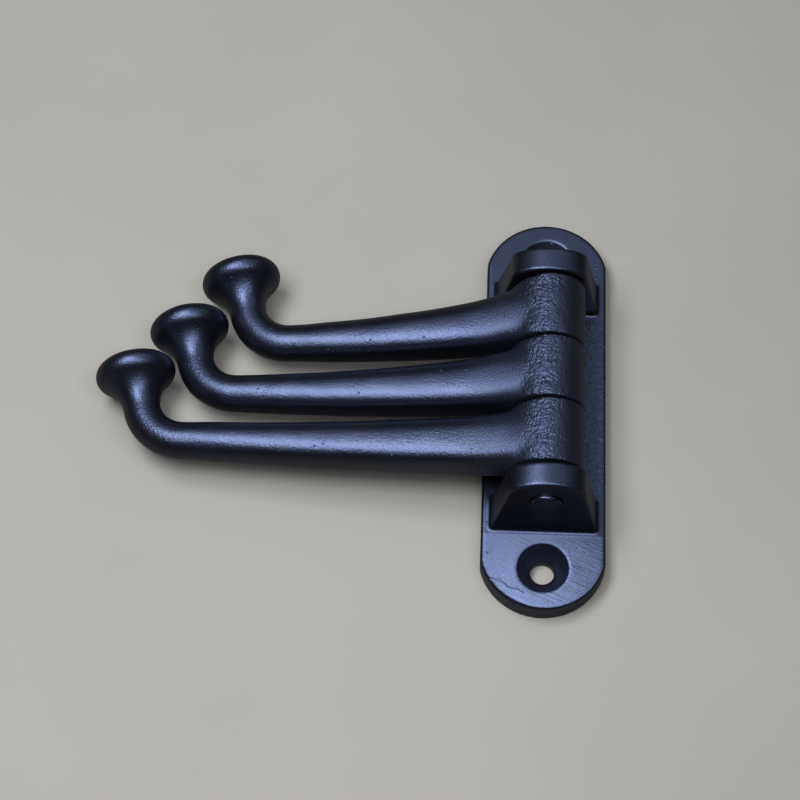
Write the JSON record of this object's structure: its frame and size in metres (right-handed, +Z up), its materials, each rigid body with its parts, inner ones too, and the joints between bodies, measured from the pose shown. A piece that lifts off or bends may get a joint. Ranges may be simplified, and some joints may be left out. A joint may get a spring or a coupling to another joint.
{
  "type": "folding wall hook",
  "caption": "Black cast-iron wall hook: gooseneck arms of graduated length, each with a trumpet knob, swing on a pin between the lugs of a countersunk wall plate.",
  "frame": {"origin": "centre of the wall plate's back face, on the wall", "axes": "+Z up the wall, +X to the right along it, and +Y into the wall, so the hook stands out towards -Y"},
  "size_m": [0.1066, 0.0246, 0.089],
  "materials": {
    "black_cast_iron": "black satin paint over as-cast iron",
    "black_pin": "black satin paint over a plain steel pin"
  },
  "bodies": {
    "wall_plate": {"backplate": "black_cast_iron", "hinge_pin": "black_pin"},
    "upper_arm": {"upper_arm": "black_cast_iron"},
    "middle_arm": {"middle_arm": "black_cast_iron"},
    "lower_arm": {"lower_arm": "black_cast_iron"}
  },
  "joints": [
    {"name": "upper_arm_swing", "type": "hinge", "parent": "wall_plate", "child": "upper_arm", "pos_m": [0, -0.017, 0], "axis": [0, 0, 1], "range_deg": [0, 194.9]},
    {"name": "middle_arm_swing", "type": "hinge", "parent": "wall_plate", "child": "middle_arm", "pos_m": [0, -0.017, 0], "axis": [0, 0, 1], "range_deg": [0, 192.9]},
    {"name": "lower_arm_swing", "type": "hinge", "parent": "wall_plate", "child": "lower_arm", "pos_m": [0, -0.017, 0], "axis": [0, 0, 1], "range_deg": [0, 191.3]}
  ]
}
